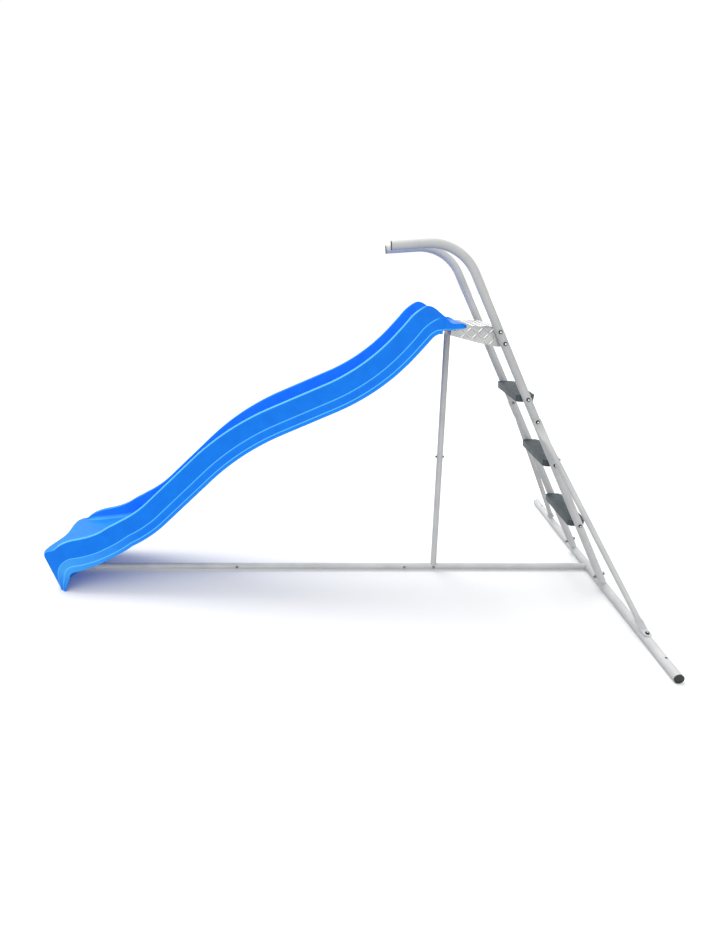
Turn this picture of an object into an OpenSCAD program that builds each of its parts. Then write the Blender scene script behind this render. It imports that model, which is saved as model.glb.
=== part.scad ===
// Pool slide with a wavy moulded chute on a bolted steel tube frame.
// Millimetres. +Z up, +X from the exit towards the ladder, symmetric about Y = 0.
// Modules are written with X = 0 at the axis of the ladder crossbar and Z = 0 on the deck.

/* [Chute wave, from the platform down] */
// flat lip lying on the platform
lip_length = 94; // [60:1:140]
// end of the lip, measured from the crossbar axis
lip_end = 739; // [700:1:780]
// radius of the bend over the top of the slide
crest_radius = 95; // [70:5:160]
// slope at the top of the first drop
crest_turn = 48; // [40:1:55]
// straight first drop
drop_length = 82; // [40:1:140]
// radius of the hollow between the drops
valley_radius = 925; // [700:5:1200]
// slope lost in the hollow
valley_turn = 24.5; // [18:0.5:30]
// straight glide after the hollow
glide_length = 250; // [150:5:350]
// radius of the second hump
brow_radius = 1150; // [900:10:1400]
// slope gained over the second hump
brow_turn = 19.5; // [15:0.5:25]
// straight second drop
steep_length = 302; // [200:2:380]
// radius of the run-out
exit_radius = 600; // [450:5:750]
// slope lost in the run-out
exit_turn = 37; // [30:0.5:42]
// nearly level bed before the nose
runout_length = 79; // [50:1:140]
// level bed from the end of the side walls to the nose
nose_length = 104; // [80:1:140]
// radius of the nose where the bed rolls down
nose_radius = 25; // [15:1:40]
// turn from the bed to the front apron
nose_turn = 100; // [90:1:110]

/* [Chute section] */
// wall of the moulding
skin = 4; // [3:0.5:6]
// half width of the bed between the side walls
bed_half = 150; // [140:1:180]
// side wall height above the bed
wall_height = 88; // [60:1:110]
// outer face at the rim to the outer face of the skirt
flare_width = 23; // [10:1:30]
// bed's edge to the outer face at the rim
rim_width = 35; // [30:1:45]
// how far the nose corners stand in front of the nose's middle
corner_reach = 18; // [0:1:30]
// radius of the nose corners seen from above
corner_radius = 45; // [40:5:60]

/* [Ladder rails] */
// rail and handrail tube outside diameter
rail_od = 35; // [32:1:40]
// rail tube wall
rail_wall = 1.5; // [1.2:0.1:2.5]
// distance between the rail axes
rail_gap = 360; // [330:5:420]
// lean of the ladder from vertical
rail_lean = 27.4; // [20:0.1:32]
// rail axis from the crossbar to the start of the handrail bend
rail_straight = 1568; // [1450:1:1650]
// handrail bend radius on the tube axis
grip_radius = 200; // [150:5:260]
// slope of the handrail grip below level
grip_fall = 4; // [0:0.5:10]
// straight grip beyond the bend
grip_length = 138; // [80:1:200]

/* [Steps and platform] */
// height of the first tread
first_step = 350; // [280:5:380]
// rise between treads
step_rise = 290; // [250:5:300]
// tread depth
tread_depth = 80; // [70:1:110]
// tread thickness
tread_thick = 30; // [24:1:40]
// platform top above the deck
platform_height = 1210; // [1100:5:1300]
// platform from its rear edge to its front flange
platform_depth = 184; // [160:1:260]
// distance of the platform's rear edge from the crossbar axis
platform_rear = 616; // [600:1:630]
// platform sheet
sheet = 2; // [1.5:0.5:3]

/* [Base frame] */
// crossbar tube outside diameter
crossbar_od = 38; // [32:1:45]
// full length of the crossbar without its caps
crossbar_length = 1622; // [1400:2:1800]
// middle piece of the crossbar
crossbar_middle = 1054; // [900:2:1200]
// distance of the stake holes from the middle
stake_offset = 720; // [650:1:780]
// stake hole diameter
stake_hole = 10; // [8:0.5:14]
// beam and post tube outside diameter
beam_od = 28; // [25:1:32]
// wall of the base tubes
base_wall = 1.5; // [1.2:0.1:2.5]
// distance of the post from the crossbar axis
post_x = 787; // [760:1:820]
// distance of the brace feet from the middle
brace_foot = 578; // [540:1:600]
// height of the brace's upper bolt
brace_height = 823; // [780:1:860]
// brace tube outside diameter
brace_od = 25; // [22:1:28]

/* [Hidden] */
$fn = 48;
eps = 0.01;
cr = crossbar_od / 2;
rail_y = rail_gap / 2;
rail_in = rail_y - rail_od / 2;
bed_top = platform_height + skin;
m8 = 8;
m8_hole = 8.6;
m6 = 6;
m6_hole = 6.4;
m8_af = 13;                             // across the flats
m6_af = 10;
m6_nut = 5;                             // nut height

// ---- chute guide curve: stations [x, z, heading, run] along the middle of the bed ----
function arc_run(r, turn, n) = [r * abs(turn) * PI / 180, turn, n];
skirt_start = 5.5;                      // crest angle where the flared skirt begins
cut = 0.5;                              // run over which the square skirt end is formed
lip_corner = 17;                        // run over which the lip's rim falls to its end
nose_rows = 7;
turn_rows = 6;
lip_rows = 5;
start_rows = 3;
runs = [
    [lip_corner, 0, 1],
    [lip_length - lip_corner, 0, lip_rows - 1],
    arc_run(crest_radius, skirt_start, start_rows),
    [cut, 0, 1],
    arc_run(crest_radius, crest_turn - skirt_start, 7),
    [drop_length, 0, 2],
    arc_run(valley_radius, -valley_turn, 6),
    [glide_length, 0, 1],
    arc_run(brow_radius, brow_turn, 5),
    [steep_length, 0, 1],
    arc_run(exit_radius, -exit_turn, 9),
    [runout_length, 0, 2],
    [nose_length, 0, nose_rows],
    arc_run(nose_radius, nose_turn, turn_rows)
];
steps = [for (r = runs) for (k = [1:r[2]]) [r[0] / r[2], r[1] / r[2]]];
bed = [for (i = 0, x = -lip_end, z = bed_top, s = 0, h = 0; i <= len(steps);
            x = x - (i < len(steps) ? steps[i][0] * cos(h + steps[i][1] / 2) : 0),
            z = z - (i < len(steps) ? steps[i][0] * sin(h + steps[i][1] / 2) : 0),
            s = s + (i < len(steps) ? steps[i][0] : 0),
            h = h + (i < len(steps) ? steps[i][1] : 0),
            i = i + 1) [x, z, h, s]];
nose = bed[len(bed) - 1];
apron_rows = 4;
apron = [for (k = [1:apron_rows]) let (f = k / apron_rows)
    [nose[0] - nose[1] * f * cos(nose[2]) / sin(nose[2]), nose[1] * (1 - f), nose[2],
     nose[3] + nose[1] * f / sin(nose[2])]];
stations = concat(bed, apron);
exit_x = min([for (p = stations) p[0]]) - corner_reach;
fan_start = len(bed) - 1 - turn_rows - nose_rows;   // last station square to the bed
fan_s = bed[fan_start][3];

// Wall height above the bed, along the run from the lip end.
wall_end = fan_s + 79;
function wall(s) = wall_height * lookup(s, [
    [0, 0], [lip_corner, 0.114], [38, 0.09], [55, 0.076], [64, 0.11], [80, 0.26], [104, 0.54],
    [118, 0.845], [130, 1.03], [145, 1.03], [200, 1], [fan_s - 287, 1], [fan_s - 207, 0.92],
    [fan_s - 144, 0.73], [fan_s - 71, 0.58], [fan_s, 0.5], [fan_s + 31, 0.38],
    [fan_s + 47, 0.3], [fan_s + 65, 0.15], [wall_end, 0]]);
// Ridges and edge of the skirt below the bed.
function ridge(s) = lookup(s, [
    [100, -33], [111, -30.5], [132, -24.5], [155, -21], [184, -19.5], [221, -17.5],
    [400, -15], [fan_s - 282, -11], [fan_s - 162, 14], [fan_s - 102, 30], [fan_s - 42, 42],
    [fan_s, 45]]);
ridge_step = 4;                         // height of each ridge's step
lower_gap = 33;                         // from the upper ridge to the lower one
skirt_gap = 47;                         // from the upper ridge to the skirt edge
function lower_ridge(s) = s > 221 ? ridge(s) + lower_gap :
    lookup(s, [[103, 15.5], [125, 13], [221, 15.5]]);
function skirt_edge(s) = s > 221 ? ridge(s) + lookup(s, [[fan_s - 160, skirt_gap], [fan_s, 60]]) :
    lookup(s, [[103, 30], [126, 27], [221, 29.5]]);
// Depth of the plain edge beside the platform.
function lip_edge(s) = lookup(s, [[0, 10], [20, 12], [65, 17], [103, 14]]);

// The exit section fans about a pivot under the nose, then runs level down the apron.
pivot_drop = 140;
pivot = [bed[fan_start][0] + pivot_drop * sin(bed[fan_start][2]),
         bed[fan_start][1] - pivot_drop * cos(bed[fan_start][2])];
fan_radii = [95, 62, 35];               // upper ridge, lower ridge and skirt edge
foot_taper = 0.5;
function fan_dir(p) = let (v = [pivot[0] - p[0], max(0, p[1] - pivot[1])])
    [v[0], -v[1]] / norm(v);
function fan_depth(p, r) =
    let (reach = norm([pivot[0] - p[0], max(0, p[1] - pivot[1])]),
         k = p[1] < pivot[1] ? foot_taper + (1 - foot_taper) * p[1] / pivot[1] : 1)
    (reach - r) * k;
function dir(i) = i <= fan_start ? [sin(stations[i][2]), -cos(stations[i][2])]
                                 : fan_dir(stations[i]);
// Plan shape of the nose: the front bows in at the middle and its corners are rounded.
function bow(y) = let (a = abs(y), over = a - bed_half)
    a > bed_half + rim_width ? 0 : -corner_reach * pow(sin(90 * min(1, a / bed_half)), 2)
    + (over > 0 ? corner_radius - sqrt(pow(corner_radius, 2) - pow(over, 2)) : 0);
function bow_share(i) = let (f = (stations[i][3] - fan_s) / nose_length)
    i < fan_start ? 0 : min(1, f * f);
// Depths below the bed of [upper ridge, lower ridge, skirt edge].
lip_last = lip_rows + start_rows;       // last station without the flared skirt
function depths(i) = let (p = stations[i], s = p[3])
    i > fan_start ? [for (r = fan_radii) fan_depth(p, r)] :
    i <= lip_last ? lip_edge(s) * [0.4, 0.7, 1] :
    [ridge(s), lower_ridge(s), skirt_edge(s)];
function flared(i) = i <= lip_last ? 0.08 : 1;

// Half section of the upper skin as [y, depth], from the bed out to the skirt edge.
function half_skin(i) = let (h = wall(stations[i][3]), d = depths(i), f = flared(i),
                             b = bed_half, w = bed_half + rim_width,
                             q = flare_width * f)
    [[b - 40, 0], [b - 14, 0], [b - 5, -0.04 * h], [b, -0.14 * h], [b + 8, -0.92 * h],
     [b + 13, -h], [w - 6, -h], [w - 1, -0.93 * h],
     [w + 0.17 * q, d[0]], [w + 0.39 * q, d[0] + ridge_step * f], [w + 0.61 * q, d[1]],
     [w + 0.83 * q, d[1] + ridge_step * f], [w + q, d[2]]];
function mirrored(a) = concat([for (k = [len(a) - 1:-1:0]) [-a[k][0], a[k][1]]], a);
// Copy of an open outline moved to its lower side by t, square to each edge.
function unit2(v) = v / max(norm(v), eps);
function under(a, t) = [for (k = [0:len(a) - 1])
    let (e0 = unit2(a[max(k, 1)] - a[max(k, 1) - 1]),
         e1 = unit2(a[min(k + 1, len(a) - 1)] - a[min(k, len(a) - 2)]),
         m = unit2(e0 + e1), c = max(0.6, m * e0))
    a[k] + t / c * [-m[1], m[0]]];
function ring(i) = let (u = mirrored(half_skin(i)), low = under(u, skin),
                        d = dir(i), p = stations[i])
    [for (q = concat(u, [for (k = [len(low) - 1:-1:0]) low[k]]))
        [p[0] + q[1] * d[0] + bow(q[0]) * bow_share(i), q[0], max(0, p[1] + q[1] * d[1])]];

module chute() {
    rings = [for (i = [0:len(stations) - 1]) ring(i)];
    n = len(rings[0]);
    m = len(rings);
    quads = [for (i = [0:m - 2]) for (k = [0:n - 1]) let (j = (k + 1) % n)
        [i * n + k, i * n + j, (i + 1) * n + j, (i + 1) * n + k]];
    half = n / 2;
    caps = [for (k = [0:half - 2]) each [
        [k, n - 1 - k, n - 2 - k, k + 1],
        [(m - 1) * n + k, (m - 1) * n + k + 1, (m - 1) * n + n - 2 - k, (m - 1) * n + n - 1 - k]]];
    color("DodgerBlue") difference() {
        polyhedron([for (r = rings) each r], concat(quads, caps), convexity = 10);
        lip_screw_places() translate([0, 0, -20]) cylinder(d = m6_hole, h = 40);
        apron_bolt_place() cylinder(d = m8_hole, h = 40, center = true);
    }
}

// ---- steel frame ----
// Puts children on the axis of a rail, at run t up from the crossbar.
module on_rail(t, side) {
    translate([0, side * rail_y, cr]) rotate([0, -rail_lean, 0]) translate([0, 0, t]) children();
}
function rail_run(z) = (z - cr) / cos(rail_lean);
function rail_x(z) = -(z - cr) * tan(rail_lean);
bolt_drop = 12;                         // from a tread's top to its bolts
bolt_rows = [for (k = [0:2]) rail_run(first_step + k * step_rise - bolt_drop)];
platform_rows = [rail_run(platform_height - 64), rail_run(platform_height - 18)];
brace_row = rail_run(brace_height);
foot_row = 63;
rail_end = 30;
grip_turn = 90 - rail_lean + grip_fall;
tie = 4;                                // inner core that joins the bend to its straights

module tube(od, wall_t, h) {
    difference() {
        cylinder(d = od, h = h);
        translate([0, 0, -1]) cylinder(d = od - 2 * wall_t, h = h + 2);
    }
}

// Solid rod of diameter d along the rail, its bend and its grip, run past both ends by past.
module rail_rod(d, past) {
    translate([0, 0, rail_end - past]) cylinder(d = d, h = rail_straight - rail_end + past);
    translate([0, 0, rail_straight]) cylinder(d = d - 1, h = 2 * tie, center = true);
    translate([-grip_radius, 0, rail_straight]) rotate([90, 0, 0]) {
        rotate_extrude(angle = grip_turn, $fn = 120) translate([grip_radius, 0])
            circle(d = d, $fn = 48);
        rotate([0, 0, grip_turn]) translate([grip_radius, 0, 0]) rotate([-90, 0, 0]) {
            cylinder(d = d, h = grip_length + past);
            cylinder(d = d - 1, h = 2 * tie, center = true);
        }
    }
}

module rail(side) {
    color("LightGray") difference() {
        on_rail(0, side) rail_rod(rail_od, 0);
        on_rail(0, side) rail_rod(rail_od - 2 * rail_wall, 1);
        for (t = concat(bolt_rows, platform_rows, [brace_row]))
            on_rail(t, side) rotate([90, 0, 0]) cylinder(d = m8_hole, h = 60, center = true);
        on_rail(foot_row, side) rotate([0, 90, 0]) cylinder(d = m8_hole, h = 60, center = true);
    }
}

module rail_plug(side) {
    color("DimGray") on_rail(rail_straight, side) translate([-grip_radius, 0, 0])
        rotate([90, 0, 0]) rotate([0, 0, grip_turn]) translate([grip_radius, grip_length, 0])
            rotate([-90, 0, 0]) {
                cylinder(d = rail_od, h = 3);
                translate([0, 0, -16]) cylinder(d = rail_od - 2 * rail_wall, h = 16);
            }
}

module tread(n) {
    top = first_step + n * step_rise;
    x = rail_x(top - bolt_drop);
    a = tread_depth / 2;
    b = rail_in;
    c = 12;                             // cut corner
    color("DarkSlateGray") difference() {
        translate([x, 0, top - tread_thick]) difference() {
            linear_extrude(tread_thick) polygon([
                [-a + c, -b], [a - c, -b], [a, -b + c], [a, b - c],
                [a - c, b], [-a + c, b], [-a, b - c], [-a, -b + c]]);
            for (y = [-1, 1]) translate([0, y * 75, -1]) linear_extrude(tread_thick - 5)
                square([tread_depth - 10, 130], center = true);
            for (k = [-3:3]) translate([k * 10, 0, tread_thick - 1.2]) linear_extrude(2)
                square([4, 2 * b - 60], center = true);
        }
        for (side = [-1, 1]) on_rail(bolt_rows[n], 0) translate([0, side * rail_in, 0])
            rotate([90, 0, 0]) cylinder(d = m8, h = 44, center = true);
    }
}

platform_front = -platform_rear - platform_depth;
flange_drop = 37;                       // front flange
hem_drop = 18;                          // rear hem
module platform() {
    w = rail_in * 2;
    // side gusset from the rear edge, as [behind it, below the top]
    gusset = [[0, 0], [-platform_depth, 0], [-platform_depth, -flange_drop],
              [4, -80], [36, -76], [36, -52], [22, -20]];
    color("Silver") difference() {
        translate([-platform_rear, 0, platform_height]) {
            translate([-platform_depth, -w / 2, -sheet]) cube([platform_depth, w, sheet]);
            for (side = [-1, 1]) translate([0, side * (rail_in - sheet / 2) + sheet / 2, 0])
                rotate([90, 0, 0]) linear_extrude(sheet) polygon(gusset);
            translate([-platform_depth, -w / 2, -flange_drop]) cube([sheet, w, flange_drop]);
            translate([-sheet, -w / 2, -hem_drop]) cube([sheet, w, hem_drop]);
        }
        for (t = platform_rows) on_rail(t, 0) rotate([90, 0, 0])
            cylinder(d = m8_hole, h = rail_gap + 60, center = true);
        lip_screw_places() translate([0, 0, -20]) cylinder(d = m6_hole, h = 40);
        translate([platform_front, 0, post_bolt_z]) rotate([0, 90, 0])
            cylinder(d = m8_hole, h = 20, center = true);
    }
}

module lip_screw_places() {
    for (side = [-1, 1]) translate([-lip_end - 32, side * 90, platform_height + skin])
        children();
}

module lip_screws() {
    color("Silver") lip_screw_places() {
        cylinder(d = 13, h = 2.5);
        translate([0, 0, -16]) cylinder(d = m6, h = 16 + eps);
        translate([0, 0, -skin - sheet - m6_nut]) nut(m6_af, m6_nut, m6);
    }
}

module nut(af, h, hole) {
    difference() {
        cylinder(d = af / cos(30), h = h, $fn = 6);
        translate([0, 0, -1]) cylinder(d = hole, h = h + 2);
    }
}

// Hex bolt with its head on +Z, washer under the head, shank down to -len.
module bolt(len, d, af) {
    translate([0, 0, 1.5]) cylinder(d = af / cos(30), h = d * 0.65, $fn = 6);
    cylinder(d = af + 3, h = 1.5);
    translate([0, 0, -len]) cylinder(d = d, h = len + 1.6);
}

module step_bolts() {
    color("Silver") for (t = bolt_rows) for (side = [-1, 1])
        on_rail(t, side) rotate([-90 * side, 0, 0]) translate([0, 0, rail_od / 2])
            bolt(rail_od + 20, m8, m8_af);
}

module platform_bolts() {
    color("Silver") for (t = platform_rows) for (side = [-1, 1])
        on_rail(t, side) rotate([-90 * side, 0, 0]) translate([0, 0, rail_od / 2])
            bolt(rail_od + 14, m8, m8_af);
}

module brace_top_bolts() {
    color("Silver") for (side = [-1, 1])
        on_rail(brace_row, side) rotate([-90 * side, 0, 0])
            translate([0, 0, rail_od / 2 + tab]) bolt(rail_od + tab + 12, m8, m8_af);
}

module rail_foot_bolts() {
    color("Silver") for (side = [-1, 1])
        on_rail(foot_row, side) rotate([0, 90, 0])
            translate([0, 0, rail_od / 2]) bolt(rail_od + 12, m8, m8_af);
}

module lock_nuts() {
    color("Silver") {
        for (side = [-1, 1]) {
            for (t = platform_rows) on_rail(t, side) rotate([-90 * side, 0, 0])
                translate([0, 0, -rail_od / 2 - sheet - m8]) nut(m8_af, m8, m8);
            on_rail(brace_row, side) rotate([-90 * side, 0, 0])
                translate([0, 0, -rail_od / 2 - m8]) nut(m8_af, m8, m8);
            on_rail(foot_row, side) rotate([0, 90, 0])
                translate([0, 0, -rail_od / 2 - m8]) nut(m8_af, m8, m8);
        }
    }
}

// ---- braces: round tube with both ends pressed flat ----
tab = 4;                                // thickness of a pressed end
tab_width = 34;
tab_long = 46;                          // upper end, from its bolt to the tube
tab_short = 30;                         // lower end
press = 70;                             // length over which the tube is pressed flat
brace_top = [rail_x(brace_height), -(rail_y + rail_od / 2 + tab / 2), brace_height];
brace_low = [0, -brace_foot, crossbar_od + tab / 2];
brace_vec = brace_low - brace_top;
// In-plane direction of the upper tab, and of the lower tab along the crossbar.
tab_angle = atan2(brace_vec[0], -brace_vec[2]);

module flat_tab(len) {
    difference() {
        union() {
            cylinder(d = tab_width, h = tab, center = true);
            translate([0, -tab_width / 2, -tab / 2]) cube([len, tab_width, tab]);
        }
        cylinder(d = m8_hole, h = tab + 2, center = true);
    }
}

module brace() {
    p0 = brace_top + [sin(tab_angle), 0, -cos(tab_angle)] * tab_long;
    p1 = brace_low + [0, 1, 0] * tab_short;
    v = p1 - p0;
    long = norm(v);
    pitch = acos(v[2] / long);
    yaw = atan2(v[1], v[0]);
    color("LightGray") {
        translate(brace_top) rotate([90, 0, 0]) rotate([0, 0, tab_angle - 90]) flat_tab(tab_long);
        translate(brace_low) rotate([0, 0, 90]) flat_tab(tab_short);
        translate(p0) rotate([0, 0, yaw]) rotate([0, pitch, 0]) {
            translate([0, 0, press]) tube(brace_od, base_wall, long - 2 * press);
            hull() {
                translate([0, 0, press]) cylinder(d = brace_od, h = 2);
                rotate([0, -pitch, 0]) rotate([0, 0, -yaw]) rotate([90, 0, 0])
                    rotate([0, 0, tab_angle - 90]) translate([-4, -tab_width / 2, -tab / 2])
                        cube([2, tab_width, tab]);
            }
            hull() {
                translate([0, 0, long - press - 2]) cylinder(d = brace_od, h = 2);
                translate([0, 0, long]) rotate([0, -pitch, 0]) rotate([0, 0, -yaw])
                    translate([-tab_width / 2, -2, -tab / 2]) cube([tab_width, 2, tab]);
            }
        }
    }
}

module brace_foot_bolts() {
    color("Silver") for (side = [-1, 1]) translate([0, side * brace_foot, crossbar_od + tab])
        bolt(crossbar_od + tab - 2, m8, m8_af);
}

// ---- crossbar ----
neck_play = 0.6;                        // slack of a neck in the tube it enters
spigot_od = rail_od - 2 * rail_wall - 1;
module crossbar_centre() {
    color("LightGray") difference() {
        union() {
            translate([0, -crossbar_middle / 2, cr]) rotate([-90, 0, 0])
                cylinder(d = crossbar_od, h = crossbar_middle);
            for (side = [-1, 1]) on_rail(0, side) cylinder(d = spigot_od, h = 110);
            translate([0, 0, cr]) rotate([0, -90, 0])
                cylinder(d = beam_od - 2 * base_wall - 1, h = 90);
        }
        translate([0, -crossbar_middle / 2 - 1, cr]) rotate([-90, 0, 0])
            cylinder(d = crossbar_od - 2 * base_wall, h = crossbar_middle + 2);
        for (side = [-1, 1]) on_rail(0, side) {
            cylinder(d = spigot_od - 3, h = 120);
            translate([0, 0, foot_row]) rotate([0, 90, 0])
                cylinder(d = m8_hole, h = 60, center = true);
        }
        translate([0, 0, cr]) rotate([0, -90, 0])
            cylinder(d = beam_od - 2 * base_wall - 4, h = 100);
    }
}

module crossbar_end(side) {
    run = (crossbar_length - crossbar_middle) / 2;
    neck = crossbar_od - 2 * base_wall - neck_play;
    color("LightGray") translate([0, side * crossbar_middle / 2, cr]) rotate([-90 * side, 0, 0])
        difference() {
            union() {
                cylinder(d = crossbar_od, h = run);
                translate([0, 0, -60]) cylinder(d = neck, h = 61);
            }
            translate([0, 0, -61]) cylinder(d = neck - 3, h = 65);
            translate([0, 0, 3]) cylinder(d = crossbar_od - 2 * base_wall, h = run);
            translate([0, 0, brace_foot - crossbar_middle / 2]) rotate([90, 0, 0])
                cylinder(d = m8_hole, h = 60, center = true);
            translate([0, 0, stake_offset - crossbar_middle / 2]) rotate([90, 0, 0])
                cylinder(d = stake_hole, h = 60, center = true);
        }
}

module crossbar_cap(side) {
    bore = crossbar_od - 2 * base_wall;
    color("Black") translate([0, side * crossbar_length / 2, cr]) rotate([-90 * side, 0, 0]) {
        cylinder(d = crossbar_od, h = 4);
        translate([0, 0, -18]) difference() {
            cylinder(d = bore, h = 18.5);
            translate([0, 0, -1]) cylinder(d = bore - 5, h = 19);
        }
    }
}

// ---- ground beam in three lengths, each with a reduced neck into the next ----
neck_len = 60;
beam_neck = beam_od - 2 * base_wall - neck_play;
seams = [cr, 904, 1741, 2478];          // ends of the lengths, from the crossbar axis
module beam_piece(k) {
    neck = beam_neck;
    run = seams[k + 1] - seams[k];
    color("LightGray") difference() {
        union() {
            translate([-seams[k], 0, cr]) rotate([0, -90, 0]) cylinder(d = beam_od, h = run);
            if (k < 2) translate([-seams[k + 1] + eps, 0, cr]) rotate([0, -90, 0])
                cylinder(d = neck, h = neck_len);
        }
        translate([-seams[k] + 1, 0, cr]) rotate([0, -90, 0])
            cylinder(d = neck - 2, h = run + neck_len + 2);
        translate([-seams[k] + 1, 0, cr]) rotate([0, -90, 0])
            cylinder(d = beam_od - 2 * base_wall, h = run - 2);
        for (j = [1:2]) translate([-seams[j] - neck_len / 2, 0, cr]) rotate([90, 0, 0])
            cylinder(d = m6_hole, h = 40, center = true);
        if (k == 0) translate([-post_x, 0, cr]) {
            cylinder(d = post_pin + neck_play, h = beam_od);
            rotate([90, 0, 0]) cylinder(d = m6_hole, h = 40, center = true);
        }
    }
}

module beam_screws() {
    color("Silver") for (j = [1:2]) translate([-seams[j] - neck_len / 2, -beam_od / 2, cr])
        rotate([90, 0, 0]) bolt(beam_od - 4, m6, m6_af);
}

// Bracket from the beam to the back of the front apron, its plate leaning with the apron.
apron_lean = nose[2] - 90;
apron_foot = nose[0] - nose[1] * cos(nose[2]) / sin(nose[2]);   // outer face on the deck
apron_bolt_z = 46;
foot_bar = [4, 40];                     // bracket bar, thickness and width
module apron_bolt_place() {
    translate([apron_foot - apron_bolt_z * tan(apron_lean), 0, apron_bolt_z])
        rotate([0, -90 - apron_lean, 0]) children();
}

module exit_foot() {
    inner = apron_foot + skin;          // apron's back face on the deck
    outer = inner + foot_bar[0];
    low = cr - foot_bar[0] / 2;
    high = low + foot_bar[0];
    top = 62;
    color("LightGray") difference() {
        union() {
            translate([-seams[3] + 30, 0, cr]) rotate([0, -90, 0])
                cylinder(d = beam_neck, h = 31);
            translate([0, foot_bar[1] / 2, 0]) rotate([90, 0, 0]) linear_extrude(foot_bar[1])
                polygon([[-seams[3], low], [-seams[3], high],
                         [outer - high * tan(apron_lean), high],
                         [outer - top * tan(apron_lean), top],
                         [inner - top * tan(apron_lean), top],
                         [inner - low * tan(apron_lean), low]]);
        }
        apron_bolt_place() cylinder(d = m8_hole, h = 40, center = true);
    }
}

module apron_bolt() {
    color("Silver") apron_bolt_place() {
        bolt(skin + foot_bar[0] + 14, m8, m8_af);
        translate([0, 0, -skin * cos(apron_lean) - foot_bar[0] - m8]) nut(m8_af, m8, m8);
    }
}

// ---- post ----
post_joint = 638;                       // seam between the lower and upper lengths
post_bolt_row = 600;                    // bolt through the neck
post_top = platform_height - 46;
post_bolt_z = platform_height - 22;     // bolt into the platform's front flange
post_pin = 16;                          // pin that stands in the beam
post_neck = 70;
post_tab = 5;                           // flat tab inside the platform's front flange
module post_lower() {
    base = cr + beam_od / 2;
    bore = beam_od - 2 * base_wall;
    foot = 8;                           // plug welded in the post's foot
    color("LightGray") translate([-post_x, 0, 0]) difference() {
        union() {
            translate([0, 0, base - 1]) cylinder(d = beam_od, h = post_joint - base + 1);
            translate([0, 0, cr - 9]) cylinder(d = post_pin, h = 30);
        }
        translate([0, 0, cr]) rotate([0, 90, 0]) difference() {
            cylinder(d = beam_od, h = 60, center = true);
            cylinder(d = bore, h = 62, center = true);
            rotate([0, -90, 0]) cylinder(d = post_pin, h = beam_od);
        }
        translate([0, 0, base + foot]) cylinder(d = bore, h = post_joint);
        translate([0, 0, post_bolt_row]) rotate([0, 90, 0])
            cylinder(d = m6_hole, h = 60, center = true);
        translate([0, 0, cr]) rotate([90, 0, 0]) cylinder(d = m6_hole, h = 60, center = true);
    }
}

module post_upper() {
    neck = beam_neck;
    tab_back = post_x + platform_front + sheet;
    color("LightGray") translate([-post_x, 0, 0]) difference() {
        union() {
            translate([0, 0, post_joint]) cylinder(d = beam_od, h = post_top - post_joint);
            translate([0, 0, post_joint - post_neck]) cylinder(d = neck, h = post_neck + 1);
            translate([tab_back, -beam_od / 2, post_top - 30]) cube([post_tab, beam_od, 74]);
        }
        translate([0, 0, post_joint - post_neck - 1]) cylinder(d = neck - 3, h = post_neck + 6);
        translate([0, 0, post_joint + 3]) cylinder(d = beam_od - 2 * base_wall, h = 490);
        translate([0, 0, post_bolt_row]) rotate([0, 90, 0])
            cylinder(d = m6_hole, h = 60, center = true);
        translate([0, 0, post_bolt_z]) rotate([0, 90, 0])
            cylinder(d = m8_hole, h = 60, center = true);
    }
}

module post_bolts() {
    color("Silver") {
        translate([-post_x + beam_od / 2, 0, post_bolt_row]) rotate([0, 90, 0])
            bolt(beam_od + 8, m6, m6_af);
        translate([-post_x - beam_od / 2 - m6_nut, 0, post_bolt_row]) rotate([0, 90, 0])
            nut(m6_af, m6_nut, m6);
        translate([-post_x, -beam_od / 2, cr]) rotate([90, 0, 0]) bolt(beam_od + 8, m6, m6_af);
        translate([-post_x, beam_od / 2 + m6_nut, cr]) rotate([90, 0, 0]) nut(m6_af, m6_nut, m6);
        translate([platform_front, 0, post_bolt_z]) rotate([0, -90, 0])
            bolt(sheet + post_tab + 12, m8, m8_af);
        translate([platform_front + sheet + post_tab + m8, 0, post_bolt_z]) rotate([0, -90, 0])
            nut(m8_af, m8, m8);
    }
}

// Moves the crossbar frame so that the origin is under the middle of the whole slide.
module place() {
    translate([-(exit_x + cr) / 2, 0, 0]) children();
}

place() chute();
place() platform();
place() rail(1);  // rail_left
place() rail(-1);  // rail_right
place() rail_plug(1);  // rail_plug_left
place() rail_plug(-1);  // rail_plug_right
place() tread(2);  // tread_top
place() tread(1);  // tread_middle
place() tread(0);  // tread_bottom
place() mirror([0, 1, 0]) brace();  // brace_left
place() brace();  // brace_right
place() crossbar_centre();
place() crossbar_end(1);  // crossbar_end_left
place() crossbar_end(-1);  // crossbar_end_right
place() crossbar_cap(1);  // crossbar_cap_left
place() crossbar_cap(-1);  // crossbar_cap_right
place() beam_piece(0);  // beam_rear
place() beam_piece(1);  // beam_middle
place() beam_piece(2);  // beam_front
place() exit_foot();
place() post_lower();
place() post_upper();
place() platform_bolts();
place() step_bolts();
place() brace_top_bolts();
place() brace_foot_bolts();
place() rail_foot_bolts();
place() lock_nuts();
place() beam_screws();
place() post_bolts();
place() lip_screws();
place() apron_bolt();
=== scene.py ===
import bpy, bmesh
from math import copysign, cos, hypot, pi, radians, sin, tan
from mathutils import Matrix, Vector


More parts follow.
